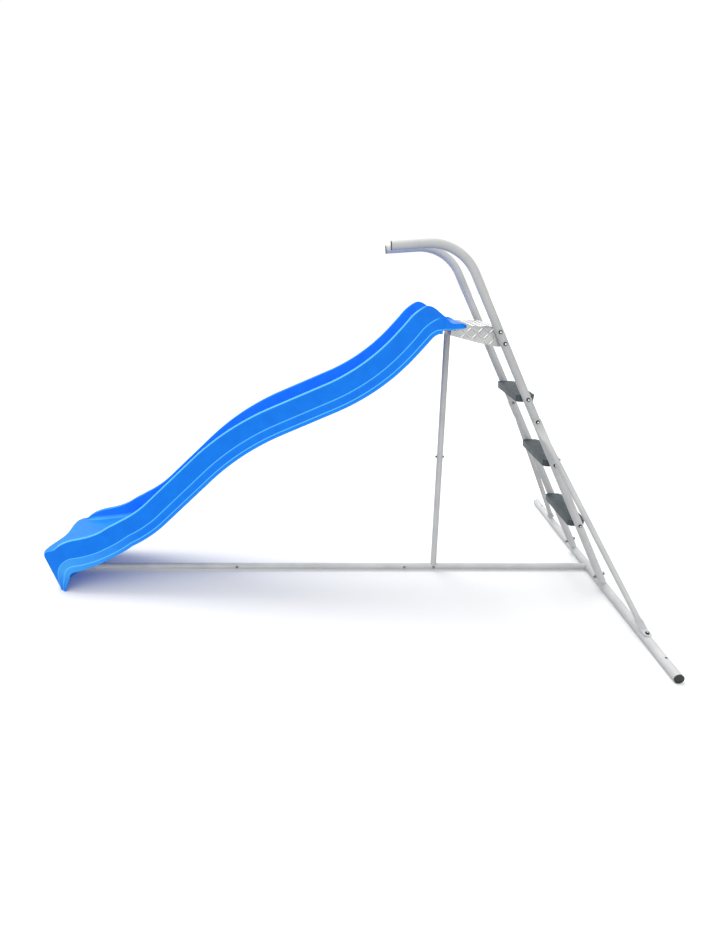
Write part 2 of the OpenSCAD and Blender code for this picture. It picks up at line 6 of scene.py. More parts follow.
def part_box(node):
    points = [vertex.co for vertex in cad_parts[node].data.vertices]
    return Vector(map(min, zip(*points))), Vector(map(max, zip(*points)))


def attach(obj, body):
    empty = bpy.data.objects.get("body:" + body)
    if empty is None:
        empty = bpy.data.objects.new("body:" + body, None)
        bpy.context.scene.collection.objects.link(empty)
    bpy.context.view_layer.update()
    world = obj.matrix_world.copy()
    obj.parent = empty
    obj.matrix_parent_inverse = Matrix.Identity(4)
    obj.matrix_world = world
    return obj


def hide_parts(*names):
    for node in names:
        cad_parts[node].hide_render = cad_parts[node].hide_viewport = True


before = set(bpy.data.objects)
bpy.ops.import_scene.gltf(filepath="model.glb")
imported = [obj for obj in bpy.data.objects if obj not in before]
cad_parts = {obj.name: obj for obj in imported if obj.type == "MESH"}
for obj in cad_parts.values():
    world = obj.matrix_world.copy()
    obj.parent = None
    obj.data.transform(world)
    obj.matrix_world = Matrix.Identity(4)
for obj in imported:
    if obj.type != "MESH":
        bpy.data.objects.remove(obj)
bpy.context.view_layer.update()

# ---- Ground crossbar -------------------------------------------------------------------
# A 38 mm steel tube in three lengths that lies on the deck and carries the ladder.
# The ends push into the middle length; the whole frame is blasted and powder coated light
# grey, which gives a soft sheen and a faint orange-peel skin.
bar_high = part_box("crossbar_centre")[1]
bar_r = 0.019
axis_x = bar_high.x - bar_r


def linear(hex_colour):
    parts = [int(hex_colour[k:k + 2], 16) / 255 for k in (0, 2, 4)]
    return [c / 12.92 if c <= 0.04045 else ((c + 0.055) / 1.055) ** 2.4 for c in parts] + [1.0]


def node(tree, kind, settings={}, values={}, links={}):
    made = tree.nodes.new(kind)
    for key, value in settings.items():
        setattr(made, key, value)
    for key, value in values.items():
        made.inputs[key].default_value = value
    for key, value in links.items():
        tree.links.new(value, made.inputs[key])
    return made


def finish(name, values):
    """A new finish: its material, node tree, object coordinates and shader."""
    made = bpy.data.materials.new(name)
    made.use_nodes = True
    tree = made.node_tree
    tree.nodes.clear()
    place = node(tree, "ShaderNodeTexCoord").outputs["Object"]
    shader = node(tree, "ShaderNodeBsdfPrincipled", values=values)
    node(tree, "ShaderNodeOutputMaterial", links={"Surface": shader.outputs[0]})
    return made, tree, place, shader


def speckle(tree, place, size, detail=3.0):
    return node(tree, "ShaderNodeTexNoise", values={"Scale": 1 / size, "Detail": detail},
                links={"Vector": place}).outputs["Fac"]


def two_tone(tree, factor, dark, light, low=0.35, high=0.65):
    ramp = node(tree, "ShaderNodeValToRGB", links={"Fac": factor})
    first, last = ramp.color_ramp.elements
    first.position, first.color = low, linear(dark)
    last.position, last.color = high, linear(light)
    return ramp.outputs["Color"]


def spread(tree, factor, low, high):
    return node(tree, "ShaderNodeMapRange", values={"To Min": low, "To Max": high},
                links={"Value": factor}).outputs["Result"]


def relief(tree, shader, height, strength, depth):
    bump = node(tree, "ShaderNodeBump", values={"Strength": strength, "Distance": depth},
                links={"Height": height})
    tree.links.new(bump.outputs["Normal"], shader.inputs["Normal"])


# Polyester powder coat, a dielectric skin. The real orange peel is about 1.5 mm across and
# is drawn at 4 mm so that it shows; slow clouding of the tone is 120 mm.
powder, tree, place, shader = finish("powder_coated_steel", {"IOR": 1.5})
tree.links.new(two_tone(tree, speckle(tree, place, 0.12), "B8B9BA", "C4C5C5"),
               shader.inputs["Base Color"])
peel = speckle(tree, place, 0.004, 2.0)
tree.links.new(spread(tree, peel, 0.32, 0.46), shader.inputs["Roughness"])
relief(tree, shader, peel, 0.1, 0.0005)


def dress(material, *names):
    for name in names:
        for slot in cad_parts[name].material_slots:
            slot.material = material


dress(powder, "crossbar_centre", "crossbar_end_left", "crossbar_end_right")

# ---- Crossbar end caps and handrail plugs ----------------------------------------------
# Pushed-in polyethylene tube caps, black, with a satin skin from the mould.
# Each has a flange the size of its tube and a sleeve inside it.
cap_black, tree, place, shader = finish("black_moulded_polyethylene", {"IOR": 1.51})
grain = speckle(tree, place, 0.002)
tree.links.new(two_tone(tree, grain, "0C0C0D", "17181A"), shader.inputs["Base Color"])
tree.links.new(spread(tree, grain, 0.38, 0.6), shader.inputs["Roughness"])
relief(tree, shader, grain, 0.15, 0.0004)
dress(cap_black, "crossbar_cap_left", "crossbar_cap_right", "rail_plug_left",
      "rail_plug_right")

# ---- Ground beam, exit foot and post ---------------------------------------------------
# 28 mm tubes with reduced necks, joined end to end and screwed. The post stands on the beam
# and carries the platform's front flange. All powder coated like the crossbar.
dress(powder, "beam_rear", "beam_middle", "beam_front", "exit_foot", "post_lower",
      "post_upper")

# ---- Ladder rails ----------------------------------------------------------------------
# Two 35 mm tubes that lean over the crossbar and are bent at the top into handrails.
# Powder coated after bending and drilling.
dress(powder, "rail_left", "rail_right")

# ---- Side braces -----------------------------------------------------------------------
# 25 mm tubes from the rails out to the crossbar. Each end is pressed flat and rounded off
# round its bolt hole, so the tube spreads from 25 mm round to a 34 mm flat.
lean = radians(27.4)
rail_y, rail_r = 0.180, 0.0175
brace_height, brace_foot, brace_r = 0.823, 0.578, 0.0125
tab, tab_half, upper_tab, lower_tab, pressed = 0.004, 0.017, 0.046, 0.030, 0.070
around = 41


def sheet_grid(rows, columns, vertex_at):
    """A flat grid pressed to shape, vertex by vertex."""
    bm = bmesh.new()
    bmesh.ops.create_grid(bm, x_segments=columns - 1, y_segments=rows - 1, size=1.0)
    bm.verts.ensure_lookup_table()
    for vertex in bm.verts:
        vertex.co = vertex_at(vertex.index // columns, vertex.index % columns)
    return bm


def settle(bm, name, material, slot_name, *nodes, crease=40, seam=0.00002):
    """Turns a finished bmesh into a piece that rides on the frame."""
    bmesh.ops.remove_doubles(bm, verts=bm.verts, dist=seam)
    bmesh.ops.recalc_face_normals(bm, faces=bm.faces)
    for face in bm.faces:
        face.smooth = True
    for edge in bm.edges:
        edge.smooth = edge.calc_face_angle(0) < radians(crease)
    mesh = bpy.data.meshes.new(name)
    bm.to_mesh(mesh)
    bm.free()
    mesh.materials.append(material)
    piece = bpy.data.objects.new(name, mesh)
    bpy.context.scene.collection.objects.link(piece)
    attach(piece, "root")
    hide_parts(*nodes)
    return piece


for name, side in (("left", 1), ("right", -1)):
    top = Vector((axis_x - (brace_height - bar_r) * tan(lean),
                  side * (rail_y + rail_r + tab / 2), brace_height))
    foot = Vector((axis_x, side * brace_foot, 2 * bar_r + tab / 2))
    lengthways = Vector((foot.x - top.x, 0, foot.z - top.z)).normalized()
    outward, along_bar = Vector((0, side, 0)), Vector((0, side, 0))
    start, end = top + lengthways * upper_tab, foot - along_bar * lower_tab
    axis = (end - start).normalized()
    flat_top = Vector((-lengthways.z, 0, lengthways.x))
    # each row: centre, direction of the long half width, of the short one, and their sizes
    rows = []
    for k in range(9):
        angle = pi / 2 * k / 8
        rows.append((top - lengthways * tab_half * cos(angle), flat_top, outward,
                     tab_half * sin(angle) + 0.0001, tab / 2))
    rows.append((start, flat_top, outward, tab_half, tab / 2))
    for k in range(1, 13):
        f = k / 12
        ease = f * f * (3 - 2 * f)
        centre = start + axis * pressed * f
        thin = outward.lerp(flat_top.cross(axis) * -1, ease).normalized()
        rows.append((centre, flat_top, thin, tab_half + (brace_r - tab_half) * ease,
                     tab / 2 + (brace_r - tab / 2) * ease))
    wide_foot = Vector((1, 0, 0))
    for k in range(13):
        f = k / 12
        ease = 1 - (1 - f) ** 2 * (1 + 2 * f)
        centre = end - axis * pressed * (1 - f)
        thin = (wide_foot.cross(axis) * side).lerp(Vector((0, 0, 1)), ease).normalized()
        if thin.z < 0:
            thin.negate()
        rows.append((centre, wide_foot, thin, brace_r + (tab_half - brace_r) * ease,
                     brace_r + (tab / 2 - brace_r) * ease))
    for k in range(9):
        angle = pi / 2 * k / 8
        rows.append((foot + along_bar * tab_half * sin(angle), wide_foot, Vector((0, 0, 1)),
                     tab_half * cos(angle) + 0.0001, tab / 2))

    def on_brace(row, column):
        centre, wide, thin, a, b = rows[row]
        turn = 2 * pi * column / (around - 1)
        squareness = 0.35 if a > b * 1.6 else 1.0
        c, s = cos(turn), sin(turn)
        return (centre + wide * a * abs(c) ** squareness * (1 if c > 0 else -1)
                + thin * b * abs(s) ** squareness * (1 if s > 0 else -1))

    bm = sheet_grid(len(rows), around, on_brace)
    settle(bm, "brace_tube_" + name, powder, "powder_coat", "brace_" + name)

# ---- Treads ----------------------------------------------------------------------------
# Slate grey polypropylene mouldings 80 mm deep, drafted sides, cut corners and a hollow
# underside. The top is recessed between a plain border and carries seven grip ribs.
# Polypropylene with a fine mould grain that breaks up its sheen, drawn at 3 mm.
slate, tree, place, shader = finish("slate_moulded_polypropylene", {"IOR": 1.49})
grain = speckle(tree, place, 0.003, 4.0)
tree.links.new(two_tone(tree, speckle(tree, place, 0.05), "2D393D", "3D4A4F"),
               shader.inputs["Base Color"])
tree.links.new(spread(tree, grain, 0.42, 0.62), shader.inputs["Roughness"])
relief(tree, shader, grain, 0.25, 0.0004)
treads = ("tread_bottom", "tread_middle", "tread_top")
cut_corner, tread_wall, tread_top_wall, border, rib_pitch = 0.012, 0.005, 0.006, 0.007, 0.0088
for name in treads:
    low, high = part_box(name)
    centre, size = (low + high) / 2, high - low
    bm = bmesh.new()
    bmesh.ops.create_cube(bm, size=1.0)
    bmesh.ops.scale(bm, vec=size, verts=bm.verts)
    upright = [e for e in bm.edges if abs(e.verts[0].co.z - e.verts[1].co.z) > 0.001]
    bmesh.ops.bevel(bm, geom=upright, offset=cut_corner, segments=1, affect="EDGES", profile=0.5,
                    material=-1)
    for vertex in bm.verts:
        if vertex.co.z < 0:
            vertex.co.x *= 0.94
            vertex.co.y *= 0.985
    under = min(bm.faces, key=lambda f: f.calc_center_median().z)
    over = max(bm.faces, key=lambda f: f.calc_center_median().z)
    bmesh.ops.inset_region(bm, faces=[under], thickness=tread_wall, depth=0)
    hollow = bmesh.ops.extrude_face_region(bm, geom=[under])
    bmesh.ops.translate(bm, vec=(0, 0, size.z - tread_top_wall),
                        verts=[v for v in hollow["geom"] if isinstance(v, bmesh.types.BMVert)])
    bmesh.ops.delete(bm, geom=[under], context="FACES_ONLY")
    bmesh.ops.inset_region(bm, faces=[over], thickness=border, depth=0)
    bmesh.ops.inset_region(bm, faces=[over], thickness=0.001, depth=-0.001)
    top_edges = [e for e in bm.edges if e.calc_face_angle(0) > 0.3 and
                 max(v.co.z for v in e.verts) > size.z / 2 - 0.0002]
    bmesh.ops.bevel(bm, geom=top_edges, offset=0.0016, segments=3, affect="EDGES", profile=0.5,
                    material=-1, clamp_overlap=True)
    for k in range(-3, 4):
        rib = bmesh.ops.create_cube(bm, size=1.0)["verts"]
        bmesh.ops.scale(bm, vec=(0.0036, size.y - 0.030 - 0.006 * abs(k) / 3, 0.0018), verts=rib)
        bmesh.ops.translate(bm, vec=(k * rib_pitch, 0, size.z / 2 - 0.0012), verts=rib)
        edges = dict.fromkeys(e for v in rib for e in v.link_edges)
        bmesh.ops.bevel(bm, geom=list(edges), offset=0.0006, segments=2, affect="EDGES",
                        profile=0.5, material=-1)
    bmesh.ops.translate(bm, vec=centre, verts=bm.verts)
    settle(bm, name + "_moulding", slate, "tread_plastic", name, crease=35)

# ---- Platform --------------------------------------------------------------------------
# 2 mm aluminium tread plate folded into a tray: two tapering side gussets, a front flange
# for the chute and post, a rear hem. The rolled lozenges stand 2 mm proud and alternate.
plate_low, plate_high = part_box("platform")
deck = plate_high.z
front_x = plate_low.x
top_run, ear_run = 0.184, 0.220
rear_x = front_x + top_run
half_w = plate_high.y
sheet = 0.002


def toned(tree, body, *tones):
    """The body colour with each of the mesh's painted light tones, painted highlight and painted
    shade, laid over it in turn.
    """
    for attribute, tone in tones:
        share = node(tree, "ShaderNodeAttribute", {"attribute_name": attribute}).outputs["Fac"]
        body = node(tree, "ShaderNodeMix", {"data_type": "RGBA"}, {7: linear(tone)},
                    {0: share, 6: body}).outputs[2]
    return body


# Mill-finish aluminium, a dull metal. Its rolling marks run across the slide and are 20 times
# as long as they are wide. The lozenges carry a painted highlight above and painted shade on the
# lower flank.
plate, tree, place, shader = finish("rolled_aluminium_tread_plate", {"Metallic": 1.0})
roll = node(tree, "ShaderNodeMapping", values={"Scale": (1.0, 0.05, 1.0)},
            links={"Vector": place})
drawn = speckle(tree, roll.outputs["Vector"], 0.0015, 2.0)
body = two_tone(tree, speckle(tree, place, 0.035, 5.0), "A4A6A6", "B9BAB9")
tree.links.new(toned(tree, body, ("painted_shade", "4C4D4D"), ("painted_highlight", "FAFAF8")),
               shader.inputs["Base Color"])
tree.links.new(spread(tree, drawn, 0.42, 0.58), shader.inputs["Roughness"])
relief(tree, shader, drawn, 0.12, 0.0003)
fold, gusset_rows, fold_rows, top_cols = 0.004, 6, 5, 24
flange_drop, hem_drop = 0.037, 0.018
pitch, lozenge_half, lozenge_wide, lozenge_proud = 0.0240, 0.0142, 0.0036, 0.0020
# depth below the top of each gusset's lower and upper edge, along the run from the front
low_edge = [(0.0, flange_drop), (0.108, 0.064), (0.188, 0.080), (0.206, 0.0795),
            (0.2145, 0.076), (ear_run, 0.070)]
high_edge = [(top_run, fold), (0.206, 0.020), (0.2145, 0.040), (ear_run, 0.052)]


def between(value, table):
    """Straight-line look-up in a table of pairs."""
    if value <= table[0][0]:
        return table[0][1]
    for (a, low_value), (b, high_value) in zip(table, table[1:]):
        if value <= b:
            return low_value + (high_value - low_value) * (value - a) / (b - a)
    return table[-1][1]


stops = [top_run * k / 22 for k in range(23)]
stops += [0.188, 0.193, 0.199, 0.206, 0.2145, 0.218, ear_run]
across = []
for k in range(gusset_rows):
    across.append(("gusset", k / (gusset_rows - 1)))
for k in range(1, fold_rows):
    across.append(("fold", k / fold_rows))
for k in range(top_cols + 1):
    across.append(("top", k / top_cols))
half_count = len(across)
outline = across + [(kind, f) for kind, f in reversed(across[:gusset_rows + fold_rows - 1])]


def on_platform(row, column):
    x = stops[row]
    kind, f = outline[column]
    side = -1 if column < half_count - top_cols // 2 - 1 else 1
    if kind == "gusset":
        depth = between(x, low_edge) * (1 - f) + between(x, high_edge) * f
        return Vector((front_x + x, side * half_w, deck - depth))
    if kind == "fold":
        turn = pi / 2 * f
        return Vector((front_x + x, side * (half_w - fold + fold * cos(turn)),
                       deck - fold + fold * sin(turn)))
    return Vector((front_x + x, (half_w - fold) * (2 * f - 1), deck))


bm = sheet_grid(len(stops), len(outline), on_platform)
rear_gap = [f for f in bm.faces if f.calc_center_median().x > rear_x
            and min(abs(v.co.y) for v in f.verts) < half_w - 0.0001]
bmesh.ops.delete(bm, geom=rear_gap, context="FACES")
bmesh.ops.recalc_face_normals(bm, faces=bm.faces)
if max(bm.faces, key=lambda f: f.normal.z * f.calc_center_median().z).normal.z < 0:
    bmesh.ops.reverse_faces(bm, faces=bm.faces)
bmesh.ops.solidify(bm, geom=bm.faces, thickness=sheet)
for x, drop in ((front_x, flange_drop), (rear_x - sheet, hem_drop)):
    flange = bmesh.ops.create_cube(bm, size=1.0)["verts"]
    bmesh.ops.scale(bm, vec=(sheet, 2 * half_w - 2 * sheet, drop), verts=flange)
    bmesh.ops.translate(bm, vec=(x + sheet / 2, 0, deck - drop / 2), verts=flange)
    edges = dict.fromkeys(e for v in flange for e in v.link_edges)
    bmesh.ops.bevel(bm, geom=list(edges), offset=0.0008, segments=2, affect="EDGES",
                    profile=0.5, material=-1)


def tone_layers(bm):
    """Adds the two painted light tones, painted highlight and painted shade, that a metal finish
    reads from its mesh.
    """
    return bm.verts.layers.float.new("painted_highlight"), bm.verts.layers.float.new("painted_shade")


def lozenge(bm, painted_highlight, painted_shade, centre, turn, outward):
    """One rolled lozenge: a flattened ball on the sheet, with a painted highlight above and painted
    shade on its lower flank.
    """
    if abs(outward.z) > 0.5:
        stand = Matrix.Rotation(turn, 4, "Z")
    else:
        stand = Matrix.Rotation(turn, 4, "Y") @ Matrix.Rotation(pi / 2, 4, "X")
    shape = Matrix.Diagonal((lozenge_half, lozenge_wide, lozenge_proud, 1))
    ball = bmesh.ops.create_uvsphere(bm, u_segments=8, v_segments=4, radius=1.0,
                                     matrix=Matrix.Translation(centre) @ stand @ shape)
    flank = (stand @ Vector((0, 1, 0, 0))).to_3d()
    if flank.z < 0 or (flank.z < 0.1 and flank.x > 0):
        flank.negate()
    for vertex in ball["verts"]:
        high = (vertex.co - centre).dot(outward) > 0.0008
        lower_flank = (vertex.co - centre).dot(flank) < -0.001
        vertex[painted_highlight] = (1.0 if turn < 0 else 0.35) if high and not lower_flank else 0.0
        vertex[painted_shade] = (1.0 if turn < 0 else 0.5) if lower_flank else 0.0


painted_highlight, painted_shade = tone_layers(bm)
lip_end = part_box("chute")[1].x
for i in range(9):
    for j in range(13):
        turn = pi / 4 if (i + j) % 2 else -pi / 4
        x = rear_x - 0.016 - i * pitch
        if x > lip_end + 0.013:
            lozenge(bm, painted_highlight, painted_shade, Vector((x, (j - 6) * pitch, deck)), turn,
                    Vector((0, 0, 1)))
        z = deck - 0.014 - (j % 4) * pitch
        if j < 4 and front_x + 0.012 < x < rear_x - 0.010:
            if deck - z < between(x - front_x, low_edge) - 0.009:
                for side in (-1, 1):
                    lozenge(bm, painted_highlight, painted_shade, Vector((x, side * half_w, z)), turn,
                            Vector((0, side, 0)))
settle(bm, "platform_tray", plate, "tread_plate", "platform", crease=30)

# ---- Chute -----------------------------------------------------------------------------
# One hollow-backed moulding in blue polyethylene: a flat bed between rounded side walls, two
# stepped ridges and a flared skirt outside, a flat lip over the platform, and an apron that
# rolls down to the deck at the exit.
# the lip's top is one skin above the platform
lip_x, lip_z, shell = lip_end - axis_x, 1.214, 0.004
bed_half, wall_height, rim, flare = 0.150, 0.088, 0.035, 0.023
lip_run, lip_corner, crest_r, plain_turn = 0.094, 0.017, 0.095, 5.5
nose_run_in, nose_bow, nose_corner = 0.104, 0.018, 0.045
nose_rows, roll_rows, apron_rows = 18, 16, 16


def bend(radius, degrees, count):
    """A bent leg of the bed, as its length, the degrees that it turns and its rows."""
    return radius * radians(abs(degrees)), degrees, count


# straight and bent legs of the bed, from the lip down, as (length, degrees turned, rows)
legs = [(lip_run, 0, 12), bend(crest_r, plain_turn, 3), (0.0006, 0, 1),
        bend(crest_r, 48 - plain_turn, 22), (0.082, 0, 8), bend(0.925, -24.5, 30), (0.250, 0, 12),
        bend(1.150, 19.5, 28), (0.302, 0, 16), bend(0.600, -37, 34), (0.079, 0, 8),
        (nose_run_in, 0, nose_rows), bend(0.025, 100, roll_rows)]
stations = [(lip_x, lip_z, 0.0, 0.0)]
for length, degrees, count in legs:
    for _ in range(count):
        x, z, turn, run = stations[-1]
        half = radians(degrees) / count / 2
        stations.append((x - length / count * cos(turn + half), z - length / count * sin(turn + half),
                         turn + 2 * half, run + length / count))
fan_row = len(stations) - 1 - roll_rows - nose_rows
nose_x, nose_z, nose_turn, nose_run = stations[-1]
for k in range(1, apron_rows + 1):
    f = k / apron_rows
    stations.append((nose_x - nose_z * f / tan(nose_turn), nose_z * (1 - f), nose_turn,
                     nose_run + nose_z * f / sin(nose_turn)))
fan_x, fan_z, fan_turn, fan_run = stations[fan_row]
cut_run = lip_run + bend(crest_r, plain_turn, 1)[0] + 0.0003
skirt_run, pivot_drop = 0.221, 0.140
pivot_x, pivot_z = fan_x + pivot_drop * sin(fan_turn), fan_z - pivot_drop * cos(fan_turn)
# Along the run from the lip: wall height as a share of the full one, then the depth below
# the bed of the upper ridge, the lip's edge, the lower ridge and the skirt's edge. Past the
# crest the skirt's edge is a gap below the upper ridge instead.
wall_table = [(0, 0), (lip_corner, 0.114), (0.038, 0.09), (0.055, 0.076), (0.064, 0.11),
              (0.080, 0.26), (0.104, 0.54), (0.118, 0.845), (0.130, 1.03), (0.145, 1.03),
              (0.200, 1), (fan_run - 0.287, 1), (fan_run - 0.207, 0.92),
              (fan_run - 0.144, 0.73), (fan_run - 0.071, 0.58), (fan_run, 0.5),
              (fan_run + 0.031, 0.38), (fan_run + 0.047, 0.3), (fan_run + 0.065, 0.15),
              (fan_run + 0.079, 0)]
upper_table = [(0.100, -0.033), (0.111, -0.0305), (0.132, -0.0245), (0.155, -0.021),
               (0.184, -0.0195), (skirt_run, -0.0175), (0.400, -0.015), (fan_run - 0.282, -0.011),
               (fan_run - 0.162, 0.014), (fan_run - 0.102, 0.030), (fan_run - 0.042, 0.042),
               (fan_run, 0.045)]
lip_table = [(0, 0.010), (0.020, 0.012), (0.065, 0.017), (0.103, 0.014)]
lower_table = [(0.103, 0.0155), (0.125, 0.013), (skirt_run, 0.0155)]
edge_table = [(0.103, 0.030), (0.126, 0.027), (skirt_run, 0.0295)]
edge_gap = [(fan_run - 0.160, 0.047), (fan_run, 0.060)]


def eased(value, table, reach):
    """The look-up rounded off over a reach either side."""
    return sum(between(value + reach * k / 3, table) for k in range(-3, 4)) / 7


def section(row):
    """Direction down through the moulding, and half outline as (y, depth, rounding, share of painted
    edge highlight).
    """
    x, z, turn, run = stations[row]
    wall = wall_height * eased(run, wall_table, 0.006 if run < 0.2 else 0.016)
    if row <= fan_row:
        down = (sin(turn), -cos(turn))
        upper = eased(run, upper_table, 0.012)
        lower = between(run, lower_table) if run < skirt_run else upper + 0.033
        edge = between(run, edge_table) if run < skirt_run else upper + between(run, edge_gap)
    else:
        away, drop = pivot_x - x, max(0.0, z - pivot_z)
        reach = hypot(away, drop)
        down = (away / reach, -drop / reach)
        taper = 0.5 + 0.5 * z / pivot_z if z < pivot_z else 1.0
        upper, lower, edge = [(reach - r) * taper for r in (0.095, 0.062, 0.035)]
    w = bed_half + rim
    soft = min(1.0, wall / 0.03)
    # The last entry of each corner is its share of painted highlight: lines along the rim, the ridges
    # and the skirt's edge, and (hollow) along the bed's edge towards the exit.
    bright = min(1.0, max(0.0, (run - 0.132) / 0.02))
    hollow = 0.35 * soft * min(1.0, max(0.0, (run - fan_run + 0.30) / 0.20))
    outline = [(0.0, 0.0, 0, 0), (bed_half - 0.001, 0.0, 0.0002 + 0.016 * soft, hollow),
               (bed_half + 0.010, -wall, 0.0002 + 0.004 * soft, 0.5 * bright * soft),
               (w - 0.003, -wall, 0.001 + 0.005 * soft, bright)]
    # the lip is the same wall, drawn in towards the bed and cut off a little below it
    ridged = run > cut_run
    pull = 1.0 if ridged else between(run, [(0.02, 0.1), (cut_run, 1.0)])
    lip_depth = between(run, lip_table)
    low_depth = lower if ridged else lip_depth + 0.0015
    step = min(1.0, max(0.0, (run - 0.104) / 0.020))

    def slope(depth):
        return (w - 0.003) + (0.0175 * pull) * (depth + wall) / (low_depth + wall)

    top = upper if ridged else max(upper, -0.8 * wall)
    first, second = slope(top), slope(top + 0.004)
    first += (w + 0.004 - first) * step
    second += (w + 0.009 - second) * step
    for k in range(1, 5):
        f = k / 5
        outline.append((w - 0.003 + (first - w + 0.003) * f, -wall + (top + wall) * f, 0, 0))
    outline += [(first, top, 0.0028, step), (second, top + 0.004, 0.003, 0)]
    if ridged:
        outline += [(w + 0.0145, lower, 0.0028, 1.0), (w + 0.019, lower + 0.004, 0.003, 0),
                    (w + flare, edge, 0, 0.3)]
    else:
        # the lip's lower edge carries a painted highlight line
        outline += [(slope(lip_depth * share), lip_depth * share, rounding, pale)
                    for share, rounding, pale in ((0.36, 0.002, 0), (0.67, 0.001, 0.2),
                                                  (1.0, 0, 0.8))]
    return down, outline


def rounded(corners, steps=6):
    """The outline with each corner turned on its own radius, as (y, depth, share of painted edge
    highlight).
    """
    line = []
    for k, (y, n, r, edge_highlight) in enumerate(corners):
        if r == 0:
            line.append((y, n, edge_highlight))
            continue
        here = Vector((y, n))
        last, following = Vector(corners[k - 1][:2]) - here, Vector(corners[k + 1][:2]) - here
        reach = max(1e-5, min(r, last.length * 0.45, following.length * 0.45))
        a, c = here + last.normalized() * reach, here + following.normalized() * reach
        for s in range(steps):
            t = s / (steps - 1)
            p = a.lerp(here, t).lerp(here.lerp(c, t), t)
            line.append((p.x, p.y, edge_highlight * (0.0 if s in (0, steps - 1) else 1.0)))
    return line


def bow(y, row):
    """How far the nose stands forward at this distance from the middle."""
    share = min(1.0, max(0.0, (stations[row][3] - fan_run) / nose_run_in)) ** 2
    over = abs(y) - bed_half
    if over > rim:
        return 0.0
    reach = -nose_bow * sin(pi / 2 * min(1.0, abs(y) / bed_half)) ** 2
    drawn = nose_corner - (nose_corner ** 2 - over ** 2) ** 0.5 if over > 0 else 0.0
    return share * (reach + drawn)


lines = []
for row in range(len(stations)):
    down, corners = section(row)
    half = rounded(corners)
    run = stations[row][3]
    # painted highlight: the bands below the ridges are painted paler towards the exit
    if run > cut_run:
        pale = 0.46 * min(1.0, max(0.0, (run - fan_run + 0.34) / 0.38))
        pale *= min(1.0, stations[row][1] / 0.12)
        half = [(y, n, max(e, pale) if n > corners[9][1] - 0.001 and y > bed_half + 0.030 else e)
                for y, n, e in half]
    inner = [(bed_half * k / 8 * 0.85, 0.0, 0) for k in range(1, 9)]
    half = [half[0]] + inner + half[1:]
    lines.append((down, [(-y, n, e) for y, n, e in reversed(half[1:])] + half))
columns = len(lines[0][1])


def on_chute(row, column):
    x, z, _, run = stations[row]
    down, line = lines[row]
    y, n, _ = line[column]
    # a shallow step in the outer wall where the crest's side panel begins
    if abs(y) > bed_half + rim - 0.001 and lip_run < run < 0.30:
        y += copysign(0.0012, y) * min(1.0, max(0.0, (x + n * down[0] + 0.906) / 0.006))
    # the lip's rear corners are rounded off in plan
    if run < lip_corner:
        cut_in = lip_corner - (lip_corner ** 2 - (lip_corner - run) ** 2) ** 0.5
        y -= copysign(cut_in, y) * min(1.0, max(0.0, (abs(y) - 0.12) / 0.06))
    return Vector((axis_x + x + n * down[0] + bow(y, row), y, max(0.0, z + n * down[1])))


bm = sheet_grid(len(stations), columns, on_chute)
# the painted edge highlight, faded out on the apron near the floor
edge_highlight = bm.verts.layers.float.new("edge")
for vertex in bm.verts:
    row, column = divmod(vertex.index, columns)
    fade = max(0.0, min(1.0, stations[row][1] / 0.05)) if row > fan_row + nose_rows + 2 else 1.0
    vertex[edge_highlight] = lines[row][1][column][2] * fade
bmesh.ops.recalc_face_normals(bm, faces=bm.faces)
if sum(f.normal.z for f in bm.faces if abs(f.calc_center_median().y) < 0.1) < 0:
    bmesh.ops.reverse_faces(bm, faces=bm.faces)
bmesh.ops.solidify(bm, geom=bm.faces, thickness=shell)
for vertex in bm.verts:
    vertex.co.z = max(0.0, vertex.co.z)

# Moulded polyethylene, which looks waxy, with a fine grain from the mould drawn at 3.5 mm.
# Painted highlight: its ridges and edges are drawn paler, and so are the bands below them towards the
# exit.
blue, tree, place, shader = finish("blue_moulded_polyethylene", {
    "IOR": 1.54, "Specular IOR Level": 0.15})
body = two_tone(tree, speckle(tree, place, 0.05, 5.0), "0076EA", "007EF2")
tree.links.new(toned(tree, body, ("edge", "58BDF5")), shader.inputs["Base Color"])
peel = speckle(tree, place, 0.0035, 3.0)
tree.links.new(spread(tree, peel, 0.36, 0.52), shader.inputs["Roughness"])
relief(tree, shader, peel, 0.22, 0.0006)
settle(bm, "chute_moulding", blue, "chute_plastic", "chute", crease=50)

# ---- Fasteners -------------------------------------------------------------------------
# M8 and M6 zinc-plated hex bolts with washers and lock nuts, and pan screws on the lip.
# Each head's centre carries a painted highlight; painted shade darkens the washers and the heads,
# most at the foot of each head.
zinc, tree, place, shader = finish("zinc_plated_steel", {"Metallic": 1.0})
dull = speckle(tree, place, 0.004, 4.0)
body = two_tone(tree, dull, "5A5B5C", "9C9D9D")
tree.links.new(toned(tree, body, ("painted_shade", "0A0A0B"), ("painted_highlight", "FFFFFF")),
               shader.inputs["Base Color"])
tree.links.new(spread(tree, dull, 0.25, 0.5), shader.inputs["Roughness"])
dress(zinc, "rail_foot_bolts", "lock_nuts", "beam_screws", "post_bolts", "lip_screws",
      "apron_bolt")
washer_r, washer_top, head_r, head_top, shank_r = 0.008, 0.0015, 0.0075, 0.0067, 0.004


def turned_part(bm, radius, low, high, sides, chamfer=0):
    """A disc, hexagon or rod along Z between two heights, its top edge chamfered."""
    made = bmesh.ops.create_cone(
        bm, cap_ends=True, segments=sides, radius1=radius, radius2=radius, depth=high - low,
        matrix=Matrix.Translation((0, 0, (low + high) / 2)))["verts"]
    if chamfer:
        top = [e for e in dict.fromkeys(e for v in made for e in v.link_edges)
               if all(v.co.z > high - 0.00001 for v in e.verts)]
        cut = bmesh.ops.bevel(bm, geom=top, offset=chamfer, segments=2, affect="EDGES",
                              profile=0.5, material=-1)
        made = [v for v in made if v.is_valid] + cut["verts"]
    return made


